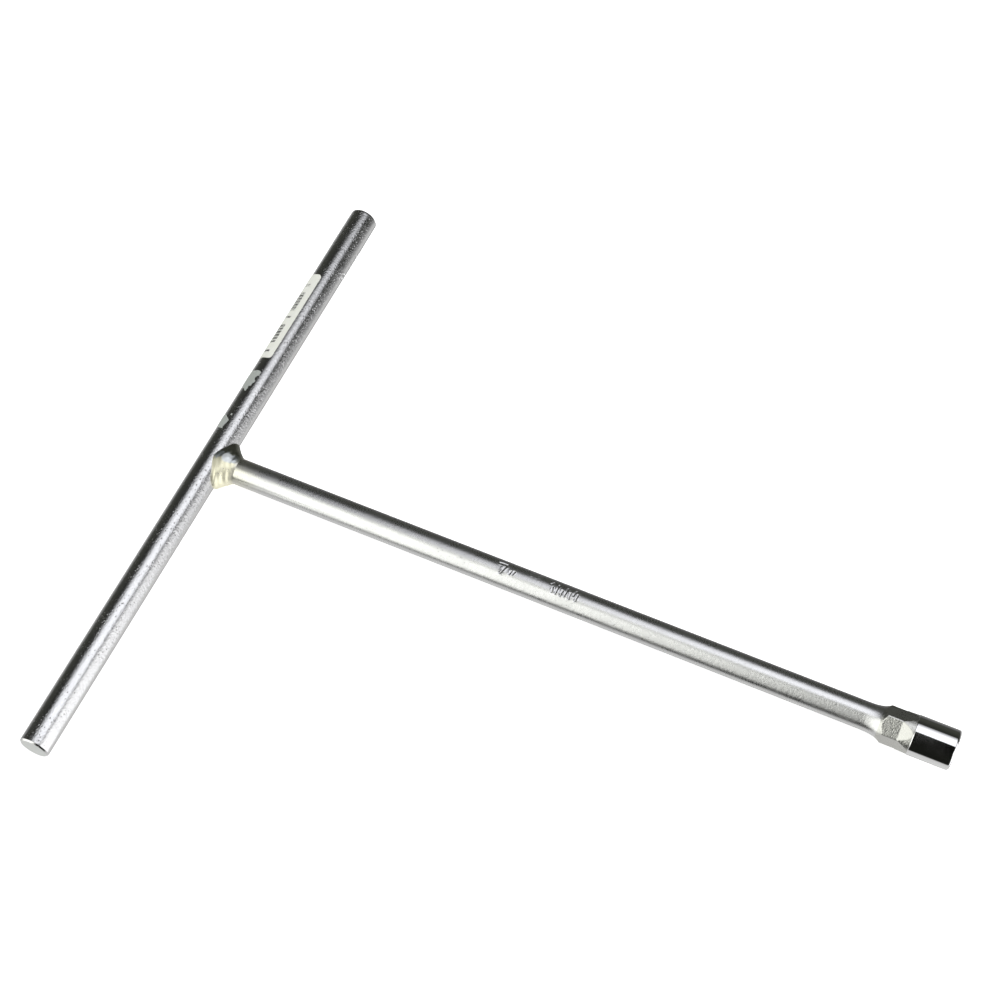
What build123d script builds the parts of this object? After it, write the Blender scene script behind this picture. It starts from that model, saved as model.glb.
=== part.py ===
from build123d import *
import os
from math import cos, radians, sin, sqrt

# T-handle hexagon socket wrench, size 7. Millimetres, +Z up.
# The origin is where the axes of the crossbar and the shank cross. The crossbar lies along Y,
# and the shank runs along +X to the socket.

# Crossbar
BAR_DIAMETER = 8.8
BAR_LENGTH = 200.0
BAR_END_CHAMFER = 0.7

# Shank: round rod, flare, hexagon collar and socket barrel. Each flat of the collar ends in a
# ramp that climbs to the barrel.
ROD_DIAMETER = 8.0
NOSE_X = 226.5
COLLAR_ACROSS_FLATS = 9.5
COLLAR_START_X = 207.0
RAMP_START_X = 211.1
RAMP_END_X = 214.9
FLARE_LENGTH = 6.6
BARREL_DIAMETER = 11.4
BARREL_START_X = 214.8
SHOULDER_START_X = 212.0
SHOULDER_DIAMETER = 11.2
BARREL_BACK_ROUNDING = 0.15
NOSE_ROUNDING_LENGTH = 0.9
NOSE_RING_DIAMETER = 8.9

# Socket: a hexagon broached into a drilled bore, which goes on past it as relief for the chips
SOCKET_ACROSS_FLATS = 7.1
SOCKET_DEPTH = 10.0
BORE_DIAMETER = 7.0
BORE_DEPTH = 14.0
DRILL_POINT_DEPTH = 2.0
LEAD_IN_DEPTH = 0.6
LEAD_IN_DIAMETER = 8.5

# Weld between the crossbar and the shank, in two passes that meet above and below the shank.
# Each row is a section of the bead's outside: place along X, half width along Y, half height.
WELD_SECTIONS = [
    (1.0, 5.0, 4.2),
    (2.7, 6.6, 4.8),
    (4.4, 7.9, 4.95),
    (6.3, 5.9, 4.6),
    (8.3, 4.05, 4.05),
]

# Paper label on the far arm, and the scraps of silver foil beside it. Angles are around the
# crossbar, from +X towards +Z.
LABEL_THICKNESS = 0.1
LABEL_LENGTH = 34.4
LABEL_WIDTH = 7.0
LABEL_CORNER_RADIUS = 1.2
LABEL_CENTRE_Y = 54.2
LABEL_CENTRE_ANGLE = 134.0
FOIL_THICKNESS = 0.05
FOIL_GAP_TO_LABEL = 5.6

bar_radius = BAR_DIAMETER / 2
rod_radius = ROD_DIAMETER / 2
barrel_radius = BARREL_DIAMETER / 2
collar_corner_radius = COLLAR_ACROSS_FLATS / sqrt(3)
flare_start_x = COLLAR_START_X - FLARE_LENGTH


def around_bar(angle, along_y):
    """A plane through the crossbar's axis at along_y that faces outwards at the given angle."""
    outwards = (cos(radians(angle)), 0, sin(radians(angle)))
    return Plane(origin=(0, along_y, 0), x_dir=(0, 1, 0), z_dir=outwards)


os.makedirs("parts", exist_ok=True)

# ------------------------------------------------------------------ crossbar
# Cold-drawn round bar, sawn off square and chamfered at both ends.
with BuildPart() as crossbar:
    with BuildSketch(Plane.XZ):
        Circle(bar_radius)
    extrude(amount=BAR_LENGTH / 2, both=True)
    chamfer(crossbar.edges().filter_by(GeomType.CIRCLE), length=BAR_END_CHAMFER)

# --------------------------------------------------------------------- shank
# Metal taken off round the collar: the six flats, with corners at the top and the bottom, and
# the ramps at their outer ends.
with BuildPart() as collar_waste:
    with BuildSketch(Plane.YZ.offset(flare_start_x)):
        Circle(BARREL_DIAMETER)
    extrude(amount=RAMP_END_X - flare_start_x)
    with BuildSketch(Plane.YZ.offset(flare_start_x)):
        RegularPolygon(COLLAR_ACROSS_FLATS / 2, 6, major_radius=False, rotation=30)
    extrude(amount=RAMP_START_X - flare_start_x, mode=Mode.SUBTRACT)
    with BuildSketch(Plane.YZ.offset(RAMP_START_X)):
        RegularPolygon(COLLAR_ACROSS_FLATS / 2, 6, major_radius=False, rotation=30)
    with BuildSketch(Plane.YZ.offset(RAMP_END_X)):
        RegularPolygon(barrel_radius, 6, major_radius=False, rotation=30)
    loft(mode=Mode.SUBTRACT)

# One forging. The turned outline comes first, then the collar, then the socket.
with BuildPart() as shank:
    with BuildSketch(Plane.XZ):
        with BuildLine():
            Line((0, 0), (0, rod_radius))
            Line((0, rod_radius), (flare_start_x, rod_radius))
            Spline(
                (flare_start_x, rod_radius),
                (COLLAR_START_X, collar_corner_radius),
                tangents=[(1, 0), (1, 1)],
            )
            Line(
                (COLLAR_START_X, collar_corner_radius),
                (SHOULDER_START_X, collar_corner_radius),
            )
            Line(
                (SHOULDER_START_X, collar_corner_radius),
                (BARREL_START_X - BARREL_BACK_ROUNDING, SHOULDER_DIAMETER / 2),
            )
            Line(
                (BARREL_START_X - BARREL_BACK_ROUNDING, SHOULDER_DIAMETER / 2),
                (BARREL_START_X, barrel_radius),
            )
            Line((BARREL_START_X, barrel_radius), (NOSE_X - NOSE_ROUNDING_LENGTH, barrel_radius))
            Spline(
                (NOSE_X - NOSE_ROUNDING_LENGTH, barrel_radius),
                (NOSE_X, NOSE_RING_DIAMETER / 2),
                tangents=[(1, 0), (0, -1)],
            )
            Line((NOSE_X, NOSE_RING_DIAMETER / 2), (NOSE_X, 0))
            Line((NOSE_X, 0), (0, 0))
        make_face()
    revolve(axis=Axis.X)
    add(collar_waste.part, mode=Mode.SUBTRACT)
    # Relief bore with its drill point
    with BuildSketch(Plane.XZ):
        with BuildLine():
            Polyline(
                (NOSE_X, 0),
                (NOSE_X, BORE_DIAMETER / 2),
                (NOSE_X - BORE_DEPTH, BORE_DIAMETER / 2),
                (NOSE_X - BORE_DEPTH - DRILL_POINT_DEPTH, 0),
                close=True,
            )
        make_face()
    revolve(axis=Axis.X, mode=Mode.SUBTRACT)
    # Broached hexagon
    with BuildSketch(Plane.YZ.offset(NOSE_X)):
        RegularPolygon(SOCKET_ACROSS_FLATS / 2, 6, major_radius=False, rotation=30)
    extrude(amount=-SOCKET_DEPTH, mode=Mode.SUBTRACT)
    # Lead-in that guides the wrench on to the bolt head
    with BuildSketch(Plane.XZ):
        with BuildLine():
            Polyline(
                (NOSE_X, 0),
                (NOSE_X, LEAD_IN_DIAMETER / 2),
                (NOSE_X - LEAD_IN_DEPTH, SOCKET_ACROSS_FLATS / 2),
                (NOSE_X - LEAD_IN_DEPTH, 0),
                close=True,
            )
        make_face()
    revolve(axis=Axis.X, mode=Mode.SUBTRACT)
    # The inner end is coped to sit on the crossbar
    with BuildSketch(Plane.XZ):
        Circle(bar_radius)
    extrude(amount=BAR_DIAMETER, both=True, mode=Mode.SUBTRACT)


# ---------------------------------------------------------------------- weld
def weld_pass(kept_side):
    """Half of the fillet weld, on one side of the plane through the shank's axis."""
    with BuildPart() as bead:
        for place, half_width, half_height in WELD_SECTIONS:
            with BuildSketch(Plane.YZ.offset(place)):
                Ellipse(half_width, half_height)
        loft()
        with BuildSketch(Plane.XZ):
            Circle(bar_radius)
        extrude(amount=BAR_DIAMETER * 2, both=True, mode=Mode.SUBTRACT)
        with BuildSketch(Plane.YZ):
            Circle(rod_radius)
        extrude(amount=BAR_DIAMETER * 2, mode=Mode.SUBTRACT)
        split(bisect_by=Plane.XZ, keep=kept_side)
    return bead


weld_bead_near = weld_pass(Keep.TOP)
weld_bead_far = weld_pass(Keep.BOTTOM)

# --------------------------------------------------------------------- label
# White self-adhesive paper with rounded corners, wrapped a quarter of the way round the bar.
label_radius = bar_radius + LABEL_THICKNESS
label_half_angle = LABEL_WIDTH / 2 / bar_radius
label_flat_width = 2 * label_radius * sin(label_half_angle)
with BuildPart() as paper_label:
    with BuildSketch(around_bar(LABEL_CENTRE_ANGLE, LABEL_CENTRE_Y)):
        RectangleRounded(LABEL_LENGTH, label_flat_width, LABEL_CORNER_RADIUS)
    extrude(amount=BAR_DIAMETER)
    with BuildSketch(Plane.XZ):
        Circle(label_radius)
        Circle(bar_radius, mode=Mode.SUBTRACT)
    extrude(amount=BAR_LENGTH / 2, both=True, mode=Mode.INTERSECT)

# ------------------------------------------------------------- foil remnants
# Two scraps of a torn silver foil sticker, between the label and the weld.
foil_radius = bar_radius + FOIL_THICKNESS
foil_start_y = LABEL_CENTRE_Y - LABEL_LENGTH / 2 - FOIL_GAP_TO_LABEL
with BuildPart() as foil_remnants:
    with BuildSketch(around_bar(118.0, foil_start_y)):
        with BuildLine():
            Polyline((0, -2.0), (-3.2, -1.1), (-7.6, 0.9), (-7.9, 3.2), (-1.6, 3.6), (0, 2.8), close=True)
        make_face()
    extrude(amount=BAR_DIAMETER)
    with BuildSketch(around_bar(118.0, 13.2)):
        with BuildLine():
            Polyline((1.9, 0.4), (0.9, -1.0), (-1.9, -0.6), (-2.1, 1.5), (1.1, 2.6), close=True)
        make_face()
    extrude(amount=BAR_DIAMETER)
    with BuildSketch(Plane.XZ):
        Circle(foil_radius)
        Circle(bar_radius, mode=Mode.SUBTRACT)
    extrude(amount=BAR_LENGTH / 2, both=True, mode=Mode.INTERSECT)

crossbar.part.label = "crossbar"
shank.part.label = "shank"
weld_bead_near.part.label = "weld_bead_near"
weld_bead_far.part.label = "weld_bead_far"
paper_label.part.label = "paper_label"
foil_remnants.part.label = "foil_remnants"

export_step(crossbar.part, "parts/crossbar.step")
export_step(shank.part, "parts/shank.step")
export_step(weld_bead_near.part, "parts/weld_bead_near.step")
export_step(weld_bead_far.part, "parts/weld_bead_far.step")
export_step(paper_label.part, "parts/paper_label.step")
export_step(foil_remnants.part, "parts/foil_remnants.step")
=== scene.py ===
from math import atan2, cos, degrees, exp, hypot, pi, radians, sin, sqrt

import bpy
from mathutils import Matrix, Vector


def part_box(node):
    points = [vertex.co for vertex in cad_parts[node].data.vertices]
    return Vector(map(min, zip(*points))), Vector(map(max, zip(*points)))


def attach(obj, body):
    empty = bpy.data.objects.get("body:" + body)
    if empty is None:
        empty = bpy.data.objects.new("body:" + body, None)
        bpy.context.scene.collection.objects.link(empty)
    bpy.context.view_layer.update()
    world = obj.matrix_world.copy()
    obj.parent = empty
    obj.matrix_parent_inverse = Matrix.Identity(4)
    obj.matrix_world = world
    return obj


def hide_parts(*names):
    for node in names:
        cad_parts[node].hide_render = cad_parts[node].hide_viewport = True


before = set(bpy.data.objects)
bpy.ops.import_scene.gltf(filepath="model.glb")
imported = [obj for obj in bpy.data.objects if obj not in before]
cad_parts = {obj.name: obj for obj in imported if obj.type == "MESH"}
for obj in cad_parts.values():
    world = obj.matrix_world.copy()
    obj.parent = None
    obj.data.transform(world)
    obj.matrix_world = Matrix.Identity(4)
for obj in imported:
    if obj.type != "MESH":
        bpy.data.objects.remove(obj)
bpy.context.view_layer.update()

# ---------------------------------------------------------------- crossbar
# The crossbar is a length of cold-drawn round bar, chamfered at both ends and chrome plated.
# The plating is bright, with faint drawing lines, pits where the bar was rusty, and a few
# stamped marks on the far arm.
bpy.ops.object.select_all(action="DESELECT")
MM = 0.001
bar_low, bar_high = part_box("crossbar")
bar_radius = bar_high.z
bar_end = bar_high.y
BAR_CHAMFER = 0.5 * MM
EDGE_WEAR = 0.07 * MM


def turned(name, axis, stations, segments=180):
    """A solid of round section: a disc drawn out along an axis, station by station."""
    turn = (radians(90), 0, 0) if axis == "Y" else (0, radians(90), 0)
    along = Vector((0, 1, 0)) if axis == "Y" else Vector((1, 0, 0))
    place, radius = stations[0]
    bpy.ops.mesh.primitive_circle_add(
        vertices=segments, radius=radius, fill_type="NGON", location=along * place, rotation=turn
    )
    piece = bpy.context.object
    piece.name = name
    piece.data.name = name
    bpy.ops.object.transform_apply(location=True, rotation=True, scale=True)
    bpy.ops.object.mode_set(mode="EDIT")
    bpy.ops.mesh.select_all(action="SELECT")
    for next_place, next_radius in stations[1:]:
        step = along * (next_place - place)
        grow = next_radius / radius
        bpy.ops.mesh.extrude_region_move(TRANSFORM_OT_translate={"value": step})
        bpy.ops.transform.resize(value=(grow, grow, grow), center_override=along * next_place)
        place, radius = next_place, next_radius
    bpy.ops.mesh.select_all(action="SELECT")
    bpy.ops.mesh.normals_make_consistent(inside=False)
    bpy.ops.mesh.select_all(action="DESELECT")
    bpy.ops.object.mode_set(mode="OBJECT")
    return piece


def evenly(start, end, step):
    """Places from start to end, about one step apart, without the first."""
    count = max(1, round((end - start) / step))
    return [start + (end - start) * (i + 1) / count for i in range(count)]


def stamp(piece, axis, strokes, width, depth):
    """Sinks punched strokes into a round surface. A stroke runs between two points, each a
    place along the axis and an angle round it, and its edges stand up a little."""
    for vertex in piece.data.vertices:
        co = vertex.co
        place = co.y if axis == "Y" else co.x
        side = co.x if axis == "Y" else co.y
        radius = hypot(side, co.z)
        arc = atan2(co.z, side) * radius
        sink = 0.0
        for start, start_angle, end, end_angle in strokes:
            if not min(start, end) - 2 * width < place < max(start, end) + 2 * width:
                continue
            a = Vector((start, radians(start_angle) * radius))
            run = Vector((end, radians(end_angle) * radius)) - a
            at = Vector((place, arc)) - a
            share = min(1, max(0, at.dot(run) / run.length_squared))
            gap = (at - run * share).length / (width / 2)
            groove = exp(-(gap ** 4)) - 0.35 * exp(-((gap - 1.45) ** 2) * 7)
            sink = groove if abs(groove) > abs(sink) else sink
        if sink and radius > 0:
            shrink = 1 - sink * depth / radius
            if axis == "Y":
                vertex.co = (co.x * shrink, co.y, co.z * shrink)
            else:
                vertex.co = (co.x, co.y * shrink, co.z * shrink)


MARKS_START = 74.0 * MM
MARKS_END = 88.0 * MM
bar_face = bar_radius - BAR_CHAMFER
bar_stations = [(-bar_end, bar_face * share) for share in (0.2, 0.6, 0.94, 1)]
bar_stations += [(-bar_end + EDGE_WEAR * 0.3, bar_face + EDGE_WEAR)]
bar_stations += [(-bar_end + BAR_CHAMFER - EDGE_WEAR, bar_radius - EDGE_WEAR * 0.3)]
bar_stations += [(-bar_end + BAR_CHAMFER + EDGE_WEAR, bar_radius)]
bar_stations += [(place, bar_radius) for place in evenly(-bar_end + 2 * BAR_CHAMFER, MARKS_START, 6 * MM)]
bar_stations += [(place, bar_radius) for place in evenly(MARKS_START, MARKS_END, 0.16 * MM)]
bar_stations += [(place, bar_radius) for place in evenly(MARKS_END, bar_end - 2 * BAR_CHAMFER, 5 * MM)]
bar_stations += [(bar_end - BAR_CHAMFER - EDGE_WEAR, bar_radius)]
bar_stations += [(bar_end - BAR_CHAMFER + EDGE_WEAR, bar_radius - EDGE_WEAR * 0.3)]
bar_stations += [(bar_end - EDGE_WEAR * 0.3, bar_face + EDGE_WEAR)]
bar_stations += [(bar_end, bar_face * share) for share in (1, 0.94, 0.6, 0.2)]
crossbar = turned("crossbar_bright", "Y", bar_stations)
# A worn row of punch marks, with no lettering in it
bar_marks = [
    (75.0 * MM, 14, 75.5 * MM, 2),
    (76.2 * MM, 16, 77.1 * MM, 4),
    (80.2 * MM, -6, 81.2 * MM, -16),
    (82.0 * MM, 2, 82.6 * MM, -12),
    (84.2 * MM, -2, 84.8 * MM, -16),
    (85.3 * MM, 4, 85.8 * MM, -8),
    (86.9 * MM, -4, 87.5 * MM, -18),
]
stamp(crossbar, "Y", bar_marks, 0.75 * MM, 0.16 * MM)
bpy.ops.object.select_all(action="DESELECT")
crossbar.select_set(True)
bpy.context.view_layer.objects.active = crossbar
bpy.ops.object.shade_smooth_by_angle(angle=radians(24))


def new_group(name, inputs, outputs):
    """A shader node group with named sockets, each (name, kind, default)."""
    group = bpy.data.node_groups.new(name, "ShaderNodeTree")
    for label, kind, default in inputs:
        socket = group.interface.new_socket(name=label, in_out="INPUT", socket_type=kind)
        if default is not None:
            socket.default_value = default
    for label, kind in outputs:
        group.interface.new_socket(name=label, in_out="OUTPUT", socket_type=kind)
    return group, group.nodes.new("NodeGroupInput"), group.nodes.new("NodeGroupOutput")


def noise(tree, vector, scale, detail=2.0, rough=0.5):
    """A noise texture's value."""
    texture = tree.nodes.new("ShaderNodeTexNoise")
    texture.inputs["Scale"].default_value = scale
    texture.inputs["Detail"].default_value = detail
    texture.inputs["Roughness"].default_value = rough
    tree.links.new(vector, texture.inputs["Vector"])
    return texture.outputs["Fac"]


def math(tree, operation, first, second=None, clamp=False):
    """One Math node on sockets or plain numbers."""
    node = tree.nodes.new("ShaderNodeMath")
    node.operation = operation
    node.use_clamp = clamp
    for socket, value in zip(node.inputs, (first, second)):
        if isinstance(value, (int, float)):
            socket.default_value = value
        elif value is not None:
            tree.links.new(value, socket)
    return node.outputs["Value"]


def remap(tree, value, low, high, to_low=0.0, to_high=1.0, smooth=False):
    """A Map Range node from low..high to to_low..to_high, clamped."""
    node = tree.nodes.new("ShaderNodeMapRange")
    node.interpolation_type = "SMOOTHSTEP" if smooth else "LINEAR"
    tree.links.new(value, node.inputs["Value"])
    limits = {"From Min": low, "From Max": high, "To Min": to_low, "To Max": to_high}
    for name, number in limits.items():
        if isinstance(number, (int, float)):
            node.inputs[name].default_value = number
        else:
            tree.links.new(number, node.inputs[name])
    return node.outputs["Result"]


def blend(tree, amount, first, second):
    """A Mix node between two colours, each a socket or plain red, green and blue."""
    node = tree.nodes.new("ShaderNodeMix")
    node.data_type = "RGBA"
    tree.links.new(amount, node.inputs[0])
    for socket, colour in ((node.inputs[6], first), (node.inputs[7], second)):
        if isinstance(colour, tuple):
            socket.default_value = (*colour, 1)
        else:
            tree.links.new(colour, socket)
    return node.outputs[2]


# Plated steel: orange peel under the plating, a fine grain, and scattered pits. Place is in
# metres, and the grain may be drawn out along one axis.
plating, taken, given = new_group(
    "plated_steel",
    [
        ("Place", "NodeSocketVector", None),
        ("Gloss Roughness", "NodeSocketFloat", 0.2),
        ("Peel", "NodeSocketFloat", 0.5),
        ("Grain", "NodeSocketFloat", 0.5),
        ("Pits", "NodeSocketFloat", 0.3),
        ("Pit Spread", "NodeSocketFloat", 0.0),
    ],
    [("Roughness", "NodeSocketFloat"), ("Height", "NodeSocketFloat"), ("Tarnish", "NodeSocketFloat")],
)
place_in = taken.outputs["Place"]
peel = noise(plating, place_in, 1000, 2)
grain = noise(plating, place_in, 2300, 2, rough=0.6)
patches = noise(plating, place_in, 160, 3)
pit_cells = plating.nodes.new("ShaderNodeTexVoronoi")
pit_cells.inputs["Scale"].default_value = 1300
plating.links.new(place_in, pit_cells.inputs["Vector"])
pit_shape = remap(plating, pit_cells.outputs["Distance"], 0.05, 0.32, 1.0, 0.0, smooth=True)
pit_here = remap(plating, math(plating, "ADD", patches, taken.outputs["Pit Spread"]), 0.5, 0.66)
pits = math(plating, "MULTIPLY", math(plating, "MULTIPLY", pit_shape, pit_here), taken.outputs["Pits"])
peel_height = math(plating, "MULTIPLY", peel, taken.outputs["Peel"])
grain_height = math(plating, "MULTIPLY", grain, taken.outputs["Grain"])
relief = math(plating, "ADD", peel_height, math(plating, "MULTIPLY", grain_height, 0.9))
relief = math(plating, "SUBTRACT", relief, math(plating, "MULTIPLY", pits, 1.2))
plating.links.new(relief, given.inputs["Height"])
dull = math(plating, "MULTIPLY", remap(plating, grain, 0.35, 0.7, -0.04, 0.06), taken.outputs["Grain"])
cloudy = remap(plating, patches, 0.3, 0.7, -0.02, 0.03)
rough_out = math(plating, "ADD", math(plating, "ADD", taken.outputs["Gloss Roughness"], dull), cloudy)
rough_out = math(plating, "ADD", rough_out, math(plating, "MULTIPLY", pits, 0.3), clamp=True)
plating.links.new(rough_out, given.inputs["Roughness"])
plating.links.new(pits, given.inputs["Tarnish"])


def plated(
    name, clean, stained, rough, peel, grain, pits, bump, stretch=(1, 1, 1), pit_spread=0.0
):
    """A chrome-plated finish built on the shared group, with its own colours and amounts of
    orange peel, grain and pits. The bump is the height of the relief."""
    material = bpy.data.materials.new(name)
    material.use_nodes = True
    tree = material.node_tree
    shader = tree.nodes["Principled BSDF"]
    shader.inputs["Metallic"].default_value = 1.0
    where = tree.nodes.new("ShaderNodeTexCoord").outputs["Object"]
    mapping = tree.nodes.new("ShaderNodeMapping")
    mapping.inputs["Scale"].default_value = stretch
    tree.links.new(where, mapping.inputs["Vector"])
    surface = tree.nodes.new("ShaderNodeGroup")
    surface.node_tree = plating
    tree.links.new(mapping.outputs["Vector"], surface.inputs["Place"])
    amounts = {"Gloss Roughness": rough, "Peel": peel, "Grain": grain, "Pits": pits}
    for socket, amount in amounts.items():
        surface.inputs[socket].default_value = amount
    surface.inputs["Pit Spread"].default_value = pit_spread
    tint = blend(tree, surface.outputs["Tarnish"], clean, stained)
    tree.links.new(tint, shader.inputs["Base Color"])
    tree.links.new(surface.outputs["Roughness"], shader.inputs["Roughness"])
    relief_node = tree.nodes.new("ShaderNodeBump")
    relief_node.inputs["Strength"].default_value = 1.0
    relief_node.inputs["Distance"].default_value = bump
    tree.links.new(surface.outputs["Height"], relief_node.inputs["Height"])
    tree.links.new(relief_node.outputs["Normal"], shader.inputs["Normal"])
    return material


CHROME = (0.66, 0.66, 0.67)
STAIN = (0.30, 0.30, 0.29)
BAR_STAIN = (0.5, 0.5, 0.49)
SAWN_CHROME = (0.74, 0.76, 0.75)
bar_chrome = plated(
    "bar_chrome", CHROME, BAR_STAIN, 0.2, 0.7, 1.0, 0.8, 0.05 * MM, stretch=(1, 0.7, 1), pit_spread=0.1
)
bar_end_chrome = plated(
    "bar_end_chrome", SAWN_CHROME, STAIN, 0.34, 0.3, 1.0, 0.4, 0.02 * MM, stretch=(0.12, 1, 1)
)
crossbar.data.materials.append(bar_chrome)
crossbar.data.materials.append(bar_end_chrome)
for face in crossbar.data.polygons:
    face.material_index = 1 if abs(face.normal.y) > 0.9 else 0
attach(crossbar, "root")
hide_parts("crossbar")

# ------------------------------------------------------------------- shank
# The shank is one forging: a round rod, swelled to a hexagon collar and a round socket at its
# outer end. Its rod is satin chrome, the flats of the collar are left matt from the forge, and
# the socket barrel is polished like a mirror.
bpy.ops.object.select_all(action="DESELECT")
ROD_RADIUS = 4.0 * MM
shank_low, shank_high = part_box("shank")
nose = shank_high.x
barrel_radius = shank_high.z
FLARE_START = 200.4 * MM
COLLAR_START = 207.0 * MM
COLLAR_FLAT = 4.75 * MM
collar_corner = COLLAR_FLAT / cos(radians(30))
SHOULDER_START = 212.0 * MM
SHOULDER_RADIUS = 5.6 * MM
RAMP_START = 211.1 * MM
RAMP_END = 214.9 * MM
CORNER_ROUNDING = 0.1 * MM
BARREL_START = 214.8 * MM
NOSE_ROUNDING = 0.9 * MM
NOSE_RING = 4.45 * MM
LEAD_IN_RADIUS = 4.25 * MM
LEAD_IN_DEPTH = 0.6 * MM
SOCKET_FLAT = 3.55 * MM
SOCKET_DEPTH = 10.0 * MM
BORE_RADIUS = 3.5 * MM
BORE_DEPTH = 14.0 * MM
DRILL_POINT = 2.0 * MM
STAMP_START = 91.0 * MM
STAMP_END = 119.5 * MM
CORNER_REACH = 3.2
SLACK = 0.01 * MM


def bezier(points, share):
    """A point on the cubic curve with these four control points."""
    a, b, c, d = (Vector(point) for point in points)
    back = 1 - share
    return a * back ** 3 + b * 3 * back ** 2 * share + c * 3 * back * share ** 2 + d * share ** 3


flare = [
    (FLARE_START, ROD_RADIUS),
    (FLARE_START + 3.6 * MM, ROD_RADIUS),
    (COLLAR_START - 1.1 * MM, collar_corner - 1.1 * MM),
    (COLLAR_START, collar_corner),
]
nose_curve = [
    (nose - NOSE_ROUNDING, barrel_radius),
    (nose - 0.2 * MM, barrel_radius),
    (nose, barrel_radius - 0.55 * MM),
    (nose, NOSE_RING),
]
shank_stations = [(1.0 * MM, ROD_RADIUS * share) for share in (0.15, 0.4, 0.7, 1)]
shank_stations += [(place, ROD_RADIUS) for place in evenly(6.0 * MM, STAMP_START, 6 * MM)]
shank_stations += [(place, ROD_RADIUS) for place in evenly(STAMP_START, STAMP_END, 0.17 * MM)]
shank_stations += [(place, ROD_RADIUS) for place in evenly(STAMP_END, FLARE_START, 6 * MM)]
shank_stations += [tuple(bezier(flare, (i + 1) / 32)) for i in range(32)]
shank_stations += [(place, collar_corner) for place in evenly(COLLAR_START, SHOULDER_START, 0.2 * MM)]
shoulder_end = BARREL_START - 0.15 * MM
shoulder_slope = (SHOULDER_RADIUS - collar_corner) / (shoulder_end - SHOULDER_START)
shank_stations += [
    (place, collar_corner + (place - SHOULDER_START) * shoulder_slope)
    for place in evenly(SHOULDER_START, shoulder_end, 0.15 * MM)
]
shank_stations += [(BARREL_START - 0.05 * MM, barrel_radius - 0.02 * MM)]
shank_stations += [(BARREL_START + step * MM, barrel_radius) for step in (0.03, 0.08, 0.2)]
barrel_places = evenly(BARREL_START + 0.2 * MM, nose - NOSE_ROUNDING, 3 * MM)
shank_stations += [(place, barrel_radius) for place in barrel_places]
shank_stations += [tuple(bezier(nose_curve, (i + 1) / 10)) for i in range(10)]
for share in (0, 0.25, 0.5, 0.75, 1):
    lead_in = LEAD_IN_RADIUS + (SOCKET_FLAT - LEAD_IN_RADIUS) * share
    shank_stations += [(nose - LEAD_IN_DEPTH * share, lead_in)]
socket_floor = nose - SOCKET_DEPTH
shank_stations += [(place, SOCKET_FLAT) for place in (nose - 2 * MM, socket_floor + 1 * MM, socket_floor)]
shank_stations += [(socket_floor, BORE_RADIUS), (nose - BORE_DEPTH, BORE_RADIUS)]
shank_stations += [(nose - BORE_DEPTH - DRILL_POINT * 0.9, BORE_RADIUS * 0.1)]
SHANK_SEGMENTS = 216
shank = turned("shank_forging", "X", shank_stations, SHANK_SEGMENTS)


def off_flat(co):
    """The angle, seen along the shank, between a point and the middle of the nearest flat."""
    return (degrees(atan2(co.z, co.y)) + 30) % 60 - 30


def set_radius(vertex, radius):
    """Moves a vertex in or out to a radius round the shank."""
    co = vertex.co
    scale = radius / hypot(co.y, co.z)
    vertex.co = (co.x, co.y * scale, co.z * scale)


for vertex in shank.data.vertices:
    # Draw the vertices towards the corners of the hexagon, to round them finely
    co = vertex.co
    radius = hypot(co.y, co.z)
    off = off_flat(co)
    turn = atan2(co.z, co.y) + radians(0.55 * (30 * sin(radians(3 * off)) - off))
    vertex.co = (co.x, radius * cos(turn), radius * sin(turn))
    co = vertex.co
    lean = cos(radians(off_flat(co)))
    # The inner end follows the round of the crossbar
    if co.x < 5 * MM:
        vertex.co.x = sqrt(bar_radius ** 2 - min(abs(co.z), ROD_RADIUS) ** 2)
    # The flats of the collar, and the ramps at their ends
    elif FLARE_START < co.x < BARREL_START:
        climb = max(0, (co.x - RAMP_START) / (RAMP_END - RAMP_START))
        flat = COLLAR_FLAT + (barrel_radius - COLLAR_FLAT) * climb
        near_corner = 30 - abs(off_flat(co))
        rounded = CORNER_ROUNDING * max(0, 1 - near_corner / CORNER_REACH) ** 2
        if radius > flat / lean - rounded:
            set_radius(vertex, min(radius, flat / lean - rounded))
    # The broached hexagon and its lead-in
    elif co.x > socket_floor - SLACK and SOCKET_FLAT - SLACK < radius < LEAD_IN_RADIUS + SLACK:
        set_radius(vertex, max(radius, SOCKET_FLAT / lean))

# The size number, and a worn row of punch strokes after it
size_mark = [
    (92.5 * MM, 73, 94.7 * MM, 71),
    (94.7 * MM, 71, 93.5 * MM, 112),
]
worn_marks = [
    (96.3 * MM, 93, 96.1 * MM, 104),
    (97.3 * MM, 89, 97.0 * MM, 101),
    (102.4 * MM, 62, 102.1 * MM, 72),
    (103.9 * MM, 59, 103.5 * MM, 72),
    (104.8 * MM, 60, 104.5 * MM, 68),
    (108.9 * MM, 70, 108.4 * MM, 80),
    (109.0 * MM, 88, 109.2 * MM, 109),
    (110.6 * MM, 73, 110.3 * MM, 110),
    (112.0 * MM, 90, 111.8 * MM, 112),
    (113.3 * MM, 72, 112.9 * MM, 108),
    (114.4 * MM, 88, 114.3 * MM, 111),
    (115.8 * MM, 71, 115.3 * MM, 92),
    (116.5 * MM, 84, 116.3 * MM, 110),
]
stamp(shank, "X", size_mark, 0.8 * MM, 0.16 * MM)
stamp(shank, "X", worn_marks, 0.66 * MM, 0.12 * MM)
bpy.ops.object.select_all(action="DESELECT")
shank.select_set(True)
bpy.context.view_layer.objects.active = shank
bpy.ops.object.shade_smooth_by_angle(angle=radians(24))

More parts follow.
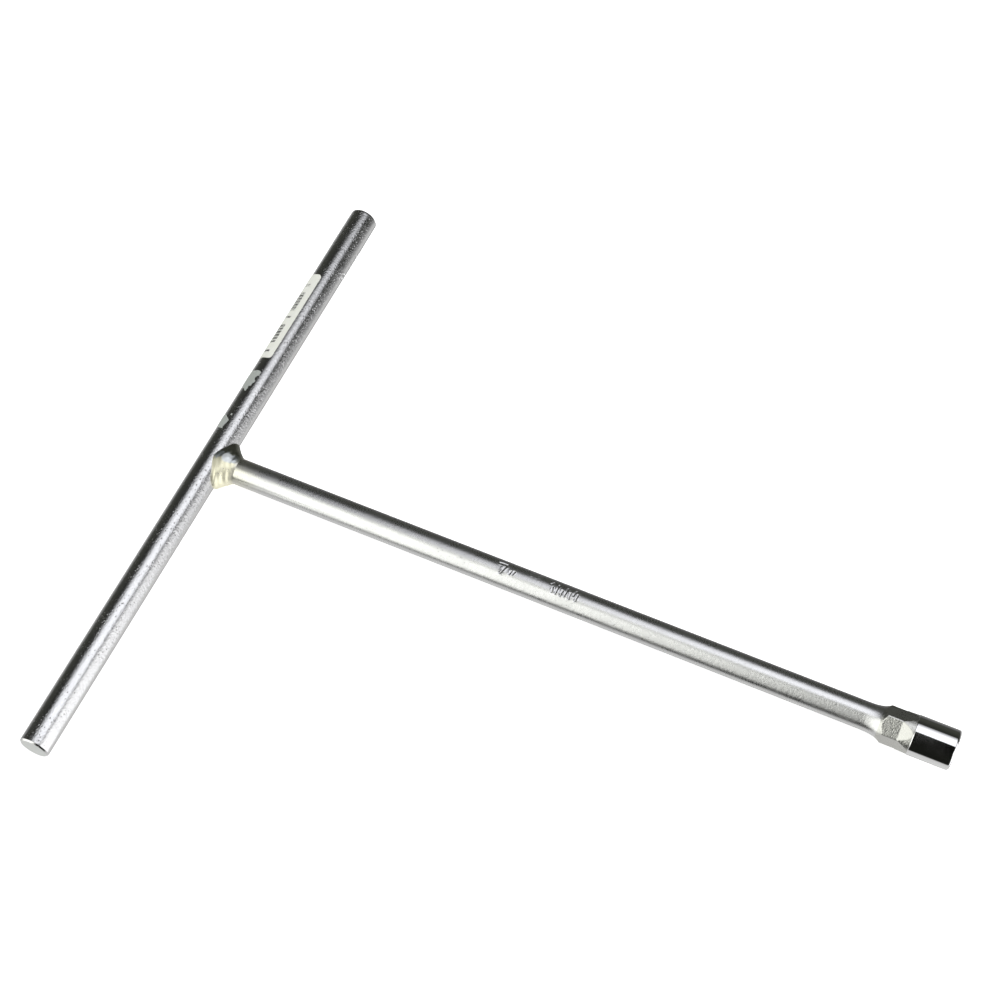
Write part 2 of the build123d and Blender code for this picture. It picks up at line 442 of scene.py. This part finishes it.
rod_chrome = plated("rod_chrome", CHROME, STAIN, 0.28, 0.55, 0.5, 0.5, 0.04 * MM)
collar_chrome = plated("collar_chrome", (0.55, 0.55, 0.53), STAIN, 0.3, 0.5, 1.0, 0.6, 0.07 * MM)
barrel_chrome = plated("barrel_chrome", (0.74, 0.74, 0.75), STAIN, 0.07, 0.15, 0.15, 0.1, 0.008 * MM)
socket_chrome = plated("socket_chrome", (0.45, 0.45, 0.44), STAIN, 0.4, 0.6, 1.0, 0.7, 0.03 * MM)
# Welding heat has left the first stretch of the rod slightly yellow
rod_tree = rod_chrome.node_tree
rod_split = rod_tree.nodes.new("ShaderNodeSeparateXYZ")
rod_tree.links.new(rod_tree.nodes["Texture Coordinate"].outputs["Object"], rod_split.inputs["Vector"])
cooler = remap(rod_tree, rod_split.outputs["X"], 8.0 * MM, 20.0 * MM, smooth=True)
rod_colour = blend(rod_tree, cooler, (0.68, 0.67, 0.60), CHROME)
rod_tree.links.new(rod_colour, rod_tree.nodes["Mix"].inputs[6])
for material in (rod_chrome, collar_chrome, barrel_chrome, socket_chrome):
    shank.data.materials.append(material)
for face in shank.data.polygons:
    middle = face.center
    radius = hypot(middle.y, middle.z)
    if middle.x > nose - BORE_DEPTH - DRILL_POINT and radius < LEAD_IN_RADIUS:
        face.material_index = 3
    elif middle.x > BARREL_START - 0.2 * MM and radius > 0.96 * barrel_radius:
        face.material_index = 2
    elif middle.x > nose - NOSE_ROUNDING - SLACK:
        face.material_index = 2
    elif middle.x > COLLAR_START - 1.6 * MM:
        face.material_index = 1
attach(shank, "root")
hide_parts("shank")

# -------------------------------------------------------------------- weld
# Two weld passes hold the shank in the middle of the crossbar, one on each side, and meet above
# and below it. Each is rippled as the pool froze, and plated over. The near one is yellowed and
# painted bright as if lit, the top where they meet has a painted bluish highlight, and the far one
# is painted dark as shade.
RIPPLE_SPACING = 1.7 * MM
RIPPLE_SLANT = 0.45
RIPPLE_HEIGHT = 0.05 * MM
LUMP_HEIGHT = 0.07 * MM
BLOB_PLACE = Vector((5.3 * MM, 0.5 * MM, 5.0 * MM))
BLOB_RADIUS = 1.7 * MM
BLOB_HEIGHT = 0.35 * MM
WELD_OVERLAP = 0.03 * MM
TOE_START = 7.6 * MM
TOE_END = 9.0 * MM
# Place along the shank, half width across and half height of the bead, in millimetres
weld_sections = [
    (0.9, 4.9, 4.15),
    (2.7, 6.6, 4.8),
    (4.4, 7.9, 4.95),
    (6.3, 6.0, 4.62),
    (8.2, 4.3, 4.18),
    (9.0, 3.94, 3.94),
]


def weld_section(place):
    """Half width and half height of the bead at a place along the shank, smoothly between the
    sections above."""
    for i in range(len(weld_sections) - 1):
        start, end = weld_sections[i], weld_sections[i + 1]
        if place <= end[0]:
            break
    before = weld_sections[max(0, i - 1)]
    after = weld_sections[min(len(weld_sections) - 1, i + 2)]
    t = (place - start[0]) / (end[0] - start[0])
    sizes = []
    for k in (1, 2):
        slope_in = (end[k] - before[k]) / (end[0] - before[0]) * (end[0] - start[0])
        slope_out = (after[k] - start[k]) / (after[0] - start[0]) * (end[0] - start[0])
        sizes.append(
            (2 * t ** 3 - 3 * t ** 2 + 1) * start[k]
            + (t ** 3 - 2 * t ** 2 + t) * slope_in
            + (3 * t ** 2 - 2 * t ** 3) * end[k]
            + (t ** 3 - t ** 2) * slope_out
        )
    return sizes


def weld_pass(name, side):
    """One pass: an oval drawn along the shank, rippled, halved, and cut away to fit the crossbar
    and the rod. side is -1 for the near pass and 1 for the far one."""
    bpy.ops.object.select_all(action="DESELECT")
    place = weld_sections[0][0]
    across, upright = weld_section(place)
    bpy.ops.mesh.primitive_circle_add(
        vertices=132, radius=MM, fill_type="NGON", location=(place * MM, 0, 0), rotation=(0, radians(90), 0)
    )
    bead = bpy.context.object
    bead.name = name
    bead.data.name = name
    bpy.ops.object.transform_apply(location=True, rotation=True, scale=True)
    bpy.ops.object.mode_set(mode="EDIT")
    bpy.ops.mesh.select_all(action="SELECT")
    bpy.ops.transform.resize(value=(1, across, upright), center_override=(place * MM, 0, 0))
    for next_place in evenly(place, weld_sections[-1][0], 0.125):
        next_across, next_upright = weld_section(next_place)
        step = ((next_place - place) * MM, 0, 0)
        grow = (1, next_across / across, next_upright / upright)
        bpy.ops.mesh.extrude_region_move(TRANSFORM_OT_translate={"value": step})
        bpy.ops.transform.resize(value=grow, center_override=(next_place * MM, 0, 0))
        place, across, upright = next_place, next_across, next_upright
    bpy.ops.mesh.select_all(action="SELECT")
    bpy.ops.mesh.normals_make_consistent(inside=False)
    bpy.ops.object.mode_set(mode="OBJECT")
    for vertex in bead.data.vertices:
        co = vertex.co
        off_rod = hypot(co.y, co.z) - ROD_RADIUS
        free = min(1, max(0, off_rod / (0.5 * MM)))
        turn = atan2(co.z, co.y * side)
        crest = (co.x - RIPPLE_SLANT * abs(co.y)) / RIPPLE_SPACING
        ripple = cos((crest + 0.12 * sin(turn * 3 + 1)) * 2 * pi)
        lump = cos(turn * 5 + co.x / MM * 0.8) * cos(co.x / MM * 1.3 + 1)
        lift = (RIPPLE_HEIGHT * ripple + LUMP_HEIGHT * lump) * free
        # The last blob of the far pass, where it runs out on top of the near one
        blob = hypot(co.x - BLOB_PLACE.x, co.y - BLOB_PLACE.y) / BLOB_RADIUS
        if co.z > 0 and blob < 1:
            lift = lift * blob + BLOB_HEIGHT * (1 - blob ** 2) ** 2
        outward = Vector((0.35, co.y / ROD_RADIUS, co.z / ROD_RADIUS)).normalized()
        vertex.co = co + outward * lift
    bpy.ops.object.mode_set(mode="EDIT")
    bpy.ops.mesh.select_all(action="SELECT")
    bpy.ops.mesh.bisect(plane_co=(0, 0, 0), plane_no=(0, side, 0), use_fill=True, clear_inner=True)
    bpy.ops.object.mode_set(mode="OBJECT")
    for radius, middle, turn in (
        (bar_radius, (0, 0, 0), (radians(90), 0, 0)),
        (ROD_RADIUS, (10 * MM, 0, 0), (0, radians(90), 0)),
    ):
        bpy.ops.object.select_all(action="DESELECT")
        bpy.ops.mesh.primitive_cylinder_add(
            vertices=144, radius=radius - WELD_OVERLAP, depth=30 * MM, location=middle, rotation=turn
        )
        cutter = bpy.context.object
        bpy.ops.object.select_all(action="DESELECT")
        bead.select_set(True)
        bpy.context.view_layer.objects.active = bead
        fit = bead.modifiers.new("fit", "BOOLEAN")
        fit.object = cutter
        fit.solver = "EXACT"
        bpy.ops.object.modifier_apply(modifier="fit")
        bpy.data.objects.remove(cutter)
    bpy.ops.object.shade_smooth_by_angle(angle=radians(50))
    return bead


weld_near = weld_pass("weld_pass_near", -1)
weld_far = weld_pass("weld_pass_far", 1)
weld_plating = plated("weld_plating", CHROME, STAIN, 0.34, 1.0, 1.0, 1.0, 0.05 * MM)
# The near pass is yellowed and painted bright as if lit, the top where the passes meet has a painted
# bluish highlight, and the far pass is painted dark as shade
weld_tree = weld_plating.node_tree
on_weld = weld_tree.nodes["Texture Coordinate"].outputs["Object"]
weld_split = weld_tree.nodes.new("ShaderNodeSeparateXYZ")
weld_tree.links.new(on_weld, weld_split.inputs["Vector"])
weld_ramp = weld_tree.nodes.new("ShaderNodeValToRGB")
ragged = noise(weld_tree, on_weld, 900, 2)
across_weld = math(
    weld_tree, "ADD", weld_split.outputs["Y"], remap(weld_tree, ragged, 0.3, 0.7, -0.7 * MM, 0.7 * MM)
)
weld_tree.links.new(remap(weld_tree, across_weld, -5.0 * MM, 5.0 * MM), weld_ramp.inputs["Fac"])
weld_stops = weld_ramp.color_ramp.elements
# The near pass keeps its yellow tint, and is painted bright as if lit
weld_stops[0].position = 0.44
weld_stops[0].color = (0.92, 0.89, 0.68, 1)
weld_stops[1].position = 0.48
weld_stops[1].color = (0.62, 0.66, 0.68, 1)
blob_stop = weld_stops.new(0.68)
blob_stop.color = (0.60, 0.64, 0.66, 1)
# The far pass is painted dark olive, as shade
far_painted_shade_stop = weld_stops.new(0.76)
far_painted_shade_stop.color = (0.27, 0.28, 0.23, 1)
blob_distance = weld_tree.nodes.new("ShaderNodeVectorMath")
blob_distance.operation = "DISTANCE"
weld_tree.links.new(on_weld, blob_distance.inputs[0])
blob_distance.inputs[1].default_value = BLOB_PLACE
# The blob on top of the bead is painted a pale bluish highlight
blob_painted_highlight_mask = remap(weld_tree, blob_distance.outputs["Value"], 1.1 * BLOB_RADIUS, 0.75 * BLOB_RADIUS)
weld_colour = blend(weld_tree, blob_painted_highlight_mask, weld_ramp.outputs["Color"], (0.76, 0.80, 0.83))
# At the toe the bead takes the rod's own plating
at_toe = remap(weld_tree, weld_split.outputs["X"], TOE_START, TOE_END)
weld_colour = blend(weld_tree, at_toe, weld_colour, (0.70, 0.69, 0.60))
weld_tree.links.new(weld_colour, weld_tree.nodes["Mix"].inputs[6])
# The near pass and the blob are made less metallic, so their painted light shows pale
near_shine = remap(weld_tree, weld_split.outputs["Y"], -1.5 * MM, 0.5 * MM, 0.55, 1.0)
blob_shine = remap(weld_tree, blob_painted_highlight_mask, 0.0, 1.0, 1.0, 0.45)
weld_shine = math(weld_tree, "MAXIMUM", math(weld_tree, "MULTIPLY", near_shine, blob_shine), at_toe)
weld_tree.links.new(weld_shine, weld_tree.nodes["Principled BSDF"].inputs["Metallic"])
for bead, node in ((weld_near, "weld_bead_near"), (weld_far, "weld_bead_far")):
    bead.data.materials.append(weld_plating)
    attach(bead, "root")
    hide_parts(node)

# ------------------------------------------------------------------- label
# The label is white coated paper with rounded corners, stuck along the far arm and wrapped
# round its back. Its print is faint, and stands here as plain ticks with no lettering.
LABEL_LENGTH = 34.4 * MM
LABEL_WIDTH = 7.0 * MM
LABEL_THICKNESS = 0.1 * MM
LABEL_CORNER = 1.2 * MM
LABEL_MIDDLE = 54.2 * MM
LABEL_ANGLE = 134.0
TICK_SPACING = 1.25


def stuck_sheet(name, length, width, thickness, middle, angle, corner=0.0, cut=None):
    """A thin sheet on the crossbar. It is cut flat, with rounded corners or a torn outline, then
    wrapped on to the bar and given its thickness."""
    bpy.ops.object.select_all(action="DESELECT")
    bpy.ops.mesh.primitive_grid_add(
        x_subdivisions=round(width / (0.13 * MM)), y_subdivisions=round(length / (0.13 * MM)), size=1
    )
    sheet = bpy.context.object
    sheet.name = name
    sheet.data.name = name
    sheet.scale = (width, length, 1)
    bpy.ops.object.transform_apply(location=True, rotation=True, scale=True)
    if cut is not None:
        bpy.ops.object.mode_set(mode="EDIT")
        bpy.ops.mesh.select_all(action="DESELECT")
        bpy.ops.object.mode_set(mode="OBJECT")
        for face in sheet.data.polygons:
            face.select = not cut(face.center.x, face.center.y)
        bpy.ops.object.mode_set(mode="EDIT")
        bpy.ops.mesh.delete(type="FACE")
        bpy.ops.object.mode_set(mode="OBJECT")
    uv = sheet.data.uv_layers.active
    for loop in sheet.data.loops:
        co = sheet.data.vertices[loop.vertex_index].co
        uv.data[loop.index].uv = (co.x / MM, co.y / MM)
    for vertex in sheet.data.vertices:
        across, along = vertex.co.x, vertex.co.y
        if corner:
            inset_x = abs(across) - (width / 2 - corner)
            inset_y = abs(along) - (length / 2 - corner)
            if inset_x > 0 and inset_y > 0:
                pull = max(inset_x, inset_y) / hypot(inset_x, inset_y)
                across = (width / 2 - corner + inset_x * pull) * (1 if across > 0 else -1)
                along = (length / 2 - corner + inset_y * pull) * (1 if along > 0 else -1)
        turn = radians(angle) + across / bar_radius
        vertex.co = (bar_radius * cos(turn), middle + along, bar_radius * sin(turn))
    bpy.ops.object.mode_set(mode="EDIT")
    bpy.ops.mesh.select_all(action="SELECT")
    bpy.ops.mesh.normals_make_consistent(inside=False)
    bpy.ops.object.mode_set(mode="OBJECT")
    middle_face = sheet.data.polygons[len(sheet.data.polygons) // 2]
    if middle_face.normal.dot(Vector((middle_face.center.x, 0, middle_face.center.z))) < 0:
        bpy.ops.object.mode_set(mode="EDIT")
        bpy.ops.mesh.flip_normals()
        bpy.ops.object.mode_set(mode="OBJECT")
    thicken = sheet.modifiers.new("thicken", "SOLIDIFY")
    thicken.thickness = thickness
    thicken.offset = 1
    bpy.ops.object.modifier_apply(modifier="thicken")
    bpy.ops.object.shade_smooth_by_angle(angle=radians(40))
    return sheet


label = stuck_sheet(
    "paper_label_printed",
    LABEL_LENGTH,
    LABEL_WIDTH,
    LABEL_THICKNESS,
    LABEL_MIDDLE,
    LABEL_ANGLE,
    corner=LABEL_CORNER,
)
paper = bpy.data.materials.new("label_paper")
paper.use_nodes = True
paper_tree = paper.node_tree
paper_shader = paper_tree.nodes["Principled BSDF"]
paper_uv = paper_tree.nodes.new("ShaderNodeUVMap")
split_uv = paper_tree.nodes.new("ShaderNodeSeparateXYZ")
paper_tree.links.new(paper_uv.outputs["UV"], split_uv.inputs["Vector"])
across_uv, along_uv = split_uv.outputs["X"], split_uv.outputs["Y"]
# Print as ticks, in two groups with a few stray ticks, each one broken up. Sizes are in
# millimetres, as the label's own coordinates are
tick_phase = math(paper_tree, "FRACT", math(paper_tree, "DIVIDE", along_uv, TICK_SPACING))
off_tick = math(paper_tree, "ABSOLUTE", math(paper_tree, "SUBTRACT", tick_phase, 0.5))
tick = remap(paper_tree, off_tick, 0.33, 0.4, 1, 0)


def between(tree, value, low, high):
    """One where the value lies between two limits, and nought elsewhere."""
    return math(
        tree, "MULTIPLY", math(tree, "GREATER_THAN", value, low), math(tree, "LESS_THAN", value, high)
    )


printed_at = between(paper_tree, along_uv, -11.2, -3.6)
for start, end in ((-15.2, -14.1), (-1.4, -0.4), (2.0, 9.4), (12.1, 13.0)):
    printed_at = math(paper_tree, "ADD", printed_at, between(paper_tree, along_uv, start, end))
break_up = remap(paper_tree, noise(paper_tree, paper_uv.outputs["UV"], 2.6, 1), 0.36, 0.46)
ink = math(paper_tree, "MULTIPLY", tick, between(paper_tree, across_uv, -1.65, 0.5))
ink = math(paper_tree, "MULTIPLY", math(paper_tree, "MULTIPLY", ink, printed_at), break_up)
paper_cloud = noise(paper_tree, paper_uv.outputs["UV"], 0.6, 3)
paper_colour = blend(paper_tree, paper_cloud, (0.77, 0.78, 0.70), (0.84, 0.85, 0.79))
paper_colour = blend(paper_tree, ink, paper_colour, (0.05, 0.05, 0.05))
paper_tree.links.new(paper_colour, paper_shader.inputs["Base Color"])
paper_shader.inputs["Specular IOR Level"].default_value = 0.3
paper_rough = remap(paper_tree, paper_cloud, 0.3, 0.7, 0.5, 0.62)
paper_tree.links.new(paper_rough, paper_shader.inputs["Roughness"])
paper_bump = paper_tree.nodes.new("ShaderNodeBump")
paper_bump.inputs["Distance"].default_value = 0.01 * MM
paper_tree.links.new(noise(paper_tree, paper_uv.outputs["UV"], 5, 3), paper_bump.inputs["Height"])
paper_tree.links.new(paper_bump.outputs["Normal"], paper_shader.inputs["Normal"])
label.data.materials.append(paper)
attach(label, "root")
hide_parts("paper_label")

# -------------------------------------------------------------------- foil
# Scraps of a silver foil sticker that was pulled off the far arm. They are thin and dull, and
# their torn edge is scalloped towards the top of the bar.
FOIL_LENGTH = 24.0 * MM
FOIL_WIDTH = 5.2 * MM
FOIL_THICKNESS = 0.05 * MM
FOIL_MIDDLE = 20.5 * MM
FOIL_ANGLE = 122.0
# Outlines of the large scrap, the small scrap and a crumb, each point a place along the bar in
# millimetres and an angle round it in degrees
foil_outlines = [
    [(31.5, 137), (31.8, 114), (31.9, 101), (31.4, 90), (30.8, 92), (30.2, 90), (29.8, 97)]
    + [(29.1, 101), (28.5, 100), (28.0, 92), (27.5, 93), (26.9, 99), (26.3, 97), (25.9, 100)]
    + [(25.7, 108), (25.1, 105), (24.5, 106), (23.7, 108), (24.1, 115), (24.6, 121)]
    + [(25.2, 137), (26.5, 152), (30.0, 154)],
    [(14.8, 137), (13.6, 118), (12.5, 100), (11.3, 104), (10.1, 108), (9.2, 107), (9.4, 123)]
    + [(9.8, 144), (11.0, 154), (14.2, 152)],
    [(14.3, 99), (14.9, 100), (15.0, 106), (14.4, 107)],
]


def on_foil(across, along):
    """True where foil is left."""
    y = (FOIL_MIDDLE + along) / MM
    angle = FOIL_ANGLE + degrees(across / bar_radius)
    for outline in foil_outlines:
        inside = False
        for (y1, a1), (y2, a2) in zip(outline, outline[1:] + outline[:1]):
            if (y1 > y) != (y2 > y) and angle < a1 + (a2 - a1) * (y - y1) / (y2 - y1):
                inside = not inside
        if inside:
            return True
    return False


scraps = stuck_sheet(
    "foil_scraps", FOIL_LENGTH, FOIL_WIDTH, FOIL_THICKNESS, FOIL_MIDDLE, FOIL_ANGLE, cut=on_foil
)
foil = plated("sticker_foil", (0.50, 0.53, 0.50), (0.28, 0.30, 0.28), 0.6, 1.0, 1.0, 0.8, 0.03 * MM)
foil.node_tree.nodes["Principled BSDF"].inputs["Metallic"].default_value = 0.35
scraps.data.materials.append(foil)
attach(scraps, "root")
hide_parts("foil_remnants")

# ------------------------------------------------------------------- stage
# A pale floor under the wrench, which lies on its weld and its socket barrel, so the floor
# leans a fifth of a degree. Metal doesn't see the floor itself but the studio's own pale base.
bpy.ops.object.select_all(action="DESELECT")
REST_TILT = atan2(0.75, 210.4)
REST_DROP = 4.95 * MM
bpy.ops.mesh.primitive_plane_add(
    size=12,
    location=(-REST_DROP * sin(REST_TILT), 0, -REST_DROP * cos(REST_TILT)),
    rotation=(0, REST_TILT, 0),
)
floor = bpy.context.object
floor.name = "floor"
floor.visible_glossy = False
floor_paint = bpy.data.materials.new("floor_white")
floor_paint.use_nodes = True
floor_shader = floor_paint.node_tree.nodes["Principled BSDF"]
floor_shader.inputs["Base Color"].default_value = (0.85, 0.85, 0.85, 1)
floor_shader.inputs["Roughness"].default_value = 0.9
# The table is lit from below, so the wrench throws no shadow on it
floor_shader.inputs["Emission Color"].default_value = (1, 1, 1, 1)
floor_shader.inputs["Emission Strength"].default_value = 0.75
floor.data.materials.append(floor_paint)

# Soft box overhead, with its brightest spot above the shank
bpy.ops.object.light_add(type="AREA", location=(0.15, 0.435, 0.85))
soft_box = bpy.context.object
soft_box.data.shape = "RECTANGLE"
soft_box.data.size = 1.3
soft_box.data.size_y = 1.03
soft_box.data.energy = 6.7
soft_box.data.color = (0.96, 0.97, 1.0)
soft_box.visible_camera = False
soft_box.data.use_nodes = True
glow_tree = soft_box.data.node_tree
from_spot = glow_tree.nodes.new("ShaderNodeVectorMath")
from_spot.operation = "DISTANCE"
from_spot.inputs[1].default_value = (0.383, 0.112, 0.85)
glow_tree.links.new(glow_tree.nodes.new("ShaderNodeNewGeometry").outputs["Position"], from_spot.inputs[0])
glow_tree.links.new(
    remap(glow_tree, from_spot.outputs["Value"], 0.31, 0.77, 1.0, 0.0),
    glow_tree.nodes["Emission"].inputs["Strength"],
)
# Fill for the floor and the paper only
bpy.ops.object.light_add(type="AREA", location=(0.1, 0, 2.2))
fill = bpy.context.object
fill.data.size = 4.0
fill.data.energy = 24
fill.visible_camera = False
fill.visible_glossy = False

# The room: dark, with a pale table below and large white cards round it
room = bpy.data.worlds.new("studio")
bpy.context.scene.world = room
room.use_nodes = True
tree = room.node_tree
tree.nodes.clear()
split = tree.nodes.new("ShaderNodeSeparateXYZ")
tree.links.new(tree.nodes.new("ShaderNodeTexCoord").outputs["Generated"], split.inputs["Vector"])
azimuth = math(tree, "MULTIPLY", math(tree, "ARCTAN2", split.outputs["Y"], split.outputs["X"]), 180 / pi)
height = math(tree, "MULTIPLY", math(tree, "ARCSINE", split.outputs["Z"]), 180 / pi)


# Cards and edges below are placed by azimuth and height in degrees
def window(value, low, high, soft_low, soft_high):
    """One between two limits, with a soft edge of its own width at each."""
    return math(
        tree,
        "MULTIPLY",
        remap(tree, value, low - soft_low, low + soft_low, smooth=True),
        remap(tree, value, high - soft_high, high + soft_high, 1, 0, smooth=True),
    )


# The lower edge of the left card rises towards its end over the shank's socket
card_edge = remap(tree, azimuth, -110, -95, -22, 3)
card_edge = math(tree, "ADD", card_edge, remap(tree, azimuth, -95.5, -91, 0, 30))
card_rise = math(tree, "SUBTRACT", height, card_edge)
left_card = math(tree, "MULTIPLY", window(azimuth, -168, -94.6, 5, 4.5), window(card_rise, 0, 120, 10, 1))
left_card = math(tree, "MULTIPLY", left_card, window(height, -60, 84, 1, 4))
# Its top is dimmer, and dimmest towards its far end
card_top = remap(tree, azimuth, -125, -100, 0.52, 0.8)
left_card = math(tree, "MULTIPLY", left_card, remap(tree, height, 58, 66, 1.0, card_top, smooth=True))
right_card = math(tree, "MULTIPLY", window(azimuth, -45, 24, 3, 7), window(height, -45, 38, 6, 7))
# The pale table is mixed from its near part, which has an edge, and its round remainder
near_side = window(azimuth, -135, -25, 12, 12)
table_edge = math(tree, "ADD", height, remap(tree, azimuth, -116, -96, -4, 5))
table_near = remap(tree, table_edge, -36, -25, 1.0, 0.0, smooth=True)
table_round = remap(tree, height, -40, 4, 1.0, 0.0)
table_mix = tree.nodes.new("ShaderNodeMix")
tree.links.new(near_side, table_mix.inputs[0])
tree.links.new(table_round, table_mix.inputs[2])
tree.links.new(table_near, table_mix.inputs[3])
far_side = window(azimuth, 70, 125, 15, 15)
below = math(
    tree, "MULTIPLY", remap(tree, height, -80, -40, 0.83, 0.77), remap(tree, far_side, 0, 1, 1.0, 0.42)
)
table = math(tree, "MULTIPLY", table_mix.outputs[0], below)
# Whatever is left is a dark room, a little lighter towards +Y and near the table
dark_side = math(
    tree, "MULTIPLY", remap(tree, azimuth, -80, 90, 0.2, 1.0), remap(tree, height, 8, 50, 0.065, 0.02)
)


def lit_by(amount, colour):
    """A colour scaled by a grey value."""
    scale = tree.nodes.new("ShaderNodeVectorMath")
    scale.operation = "SCALE"
    scale.inputs[0].default_value = colour
    tree.links.new(amount, scale.inputs["Scale"])
    return scale.outputs["Vector"]


def brighter(first, second):
    """The brighter of two colours, channel by channel."""
    lighten = tree.nodes.new("ShaderNodeVectorMath")
    lighten.operation = "MAXIMUM"
    tree.links.new(first, lighten.inputs[0])
    tree.links.new(second, lighten.inputs[1])
    return lighten.outputs["Vector"]


seen_in_metal = brighter(
    brighter(lit_by(left_card, (1.84, 1.86, 1.75)), lit_by(right_card, (1.65, 1.65, 1.65))),
    brighter(lit_by(table, (1.0, 1.0, 0.98)), lit_by(dark_side, (0.95, 1.0, 0.82))),
)
rays = tree.nodes.new("ShaderNodeLightPath")


def background(strength):
    """A white background of a given strength."""
    node = tree.nodes.new("ShaderNodeBackground")
    node.inputs["Color"].default_value = (1, 1, 1, 1)
    node.inputs["Strength"].default_value = strength
    return node


metal_view = background(1.0)
tree.links.new(seen_in_metal, metal_view.inputs["Color"])
matt_view = background(0.5)
camera_view = background(1.0)
first_choice = tree.nodes.new("ShaderNodeMixShader")
tree.links.new(rays.outputs["Is Glossy Ray"], first_choice.inputs[0])
tree.links.new(matt_view.outputs["Background"], first_choice.inputs[1])
tree.links.new(metal_view.outputs["Background"], first_choice.inputs[2])
choose = tree.nodes.new("ShaderNodeMixShader")
tree.links.new(rays.outputs["Is Camera Ray"], choose.inputs[0])
tree.links.new(first_choice.outputs["Shader"], choose.inputs[1])
tree.links.new(camera_view.outputs["Background"], choose.inputs[2])
output = tree.nodes.new("ShaderNodeOutputWorld")
tree.links.new(choose.outputs["Shader"], output.inputs["Surface"])

# Camera
CAMERA_PLACE = Vector((0.20436, -0.22996, 0.46525))
CAMERA_AIM = Vector((0.08282, 0.02209, 0.0))
CAMERA_ROLL = radians(-1.625)
bpy.ops.object.camera_add(location=CAMERA_PLACE)
camera = bpy.context.object
camera.rotation_mode = "QUATERNION"
aim = (CAMERA_AIM - CAMERA_PLACE).to_track_quat("-Z", "Y")
camera.rotation_quaternion = aim @ Matrix.Rotation(CAMERA_ROLL, 3, "Z").to_quaternion()
camera.data.lens = 67.42
camera.data.sensor_width = 36
camera.data.clip_start = 0.01
bpy.context.scene.camera = camera
bpy.context.scene.view_settings.view_transform = "Standard"
